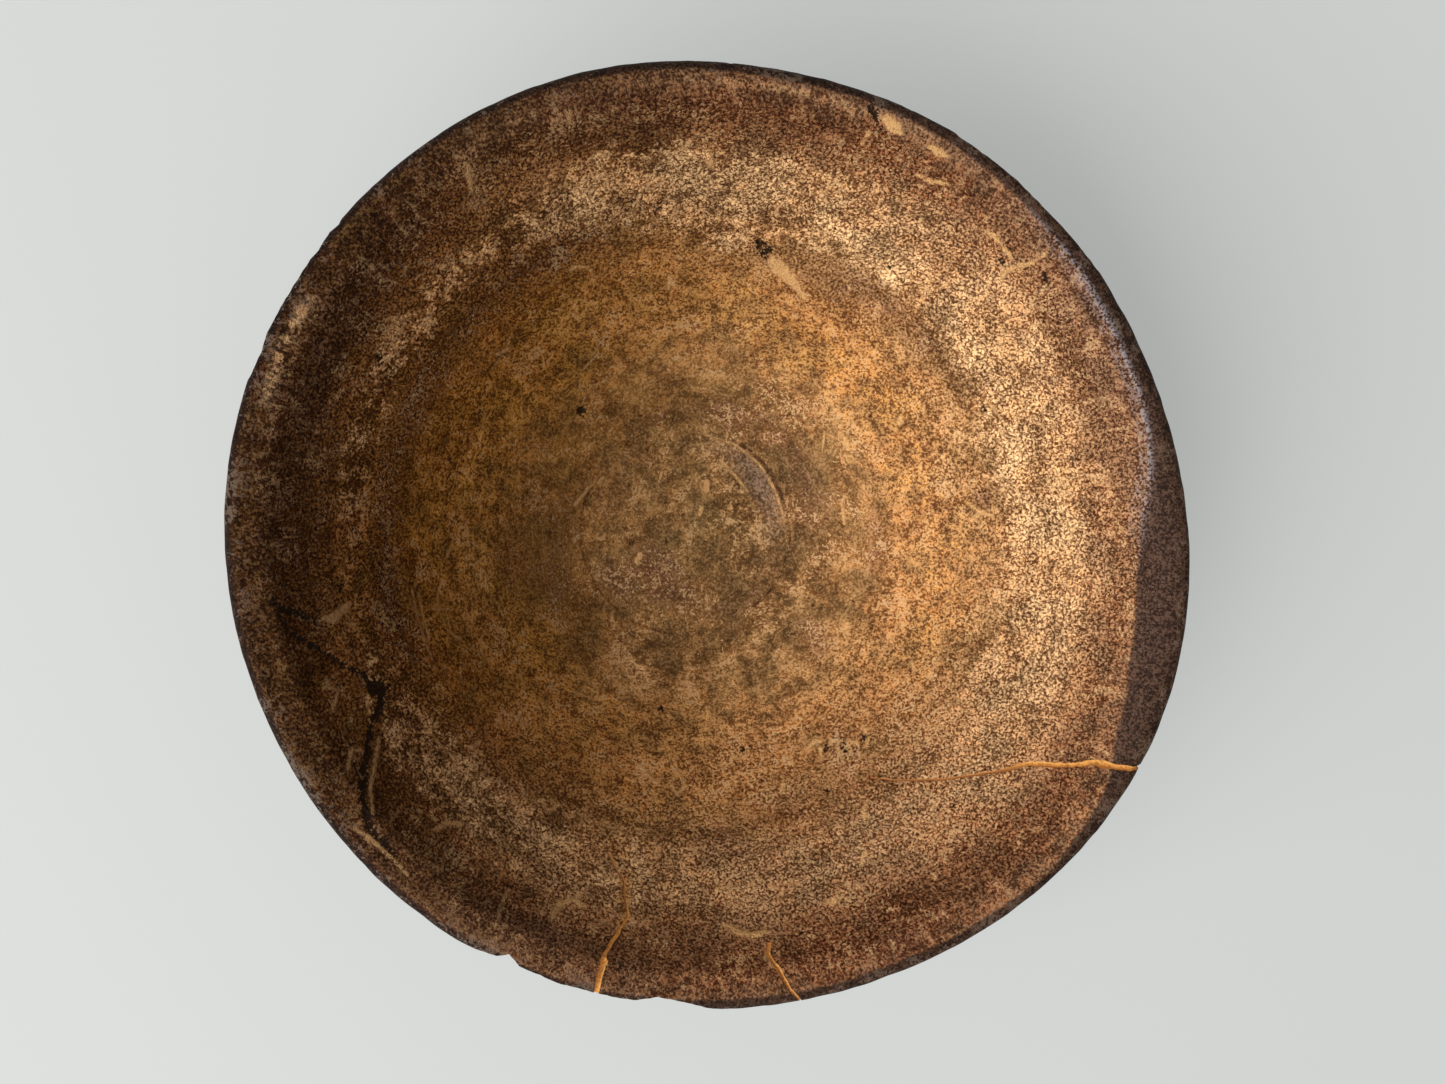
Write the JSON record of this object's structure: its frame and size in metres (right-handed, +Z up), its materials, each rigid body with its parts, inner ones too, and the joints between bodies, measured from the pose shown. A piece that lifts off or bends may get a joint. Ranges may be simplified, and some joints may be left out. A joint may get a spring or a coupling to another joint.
{
  "type": "cracked bowl",
  "caption": "Flaring hand-thrown stoneware bowl on a foot ring, with a rolled lip, a chipped and warped rim and open cracks running in from the edge.",
  "frame": {"origin": "centre of the bowl's plan at the level it stands on", "axes": "+Z up out of the bowl's mouth; +X and +Y lie in the plan, with the largest rim break towards -Y"},
  "size_m": [0.1741, 0.1693, 0.0587],
  "materials": {
    "brown_glaze": "dull mottled brown glaze, speckled tan where thin, with buff clay showing in the cracks"
  },
  "bodies": {
    "root": {"bowl": "brown_glaze"}
  },
  "joints": []
}
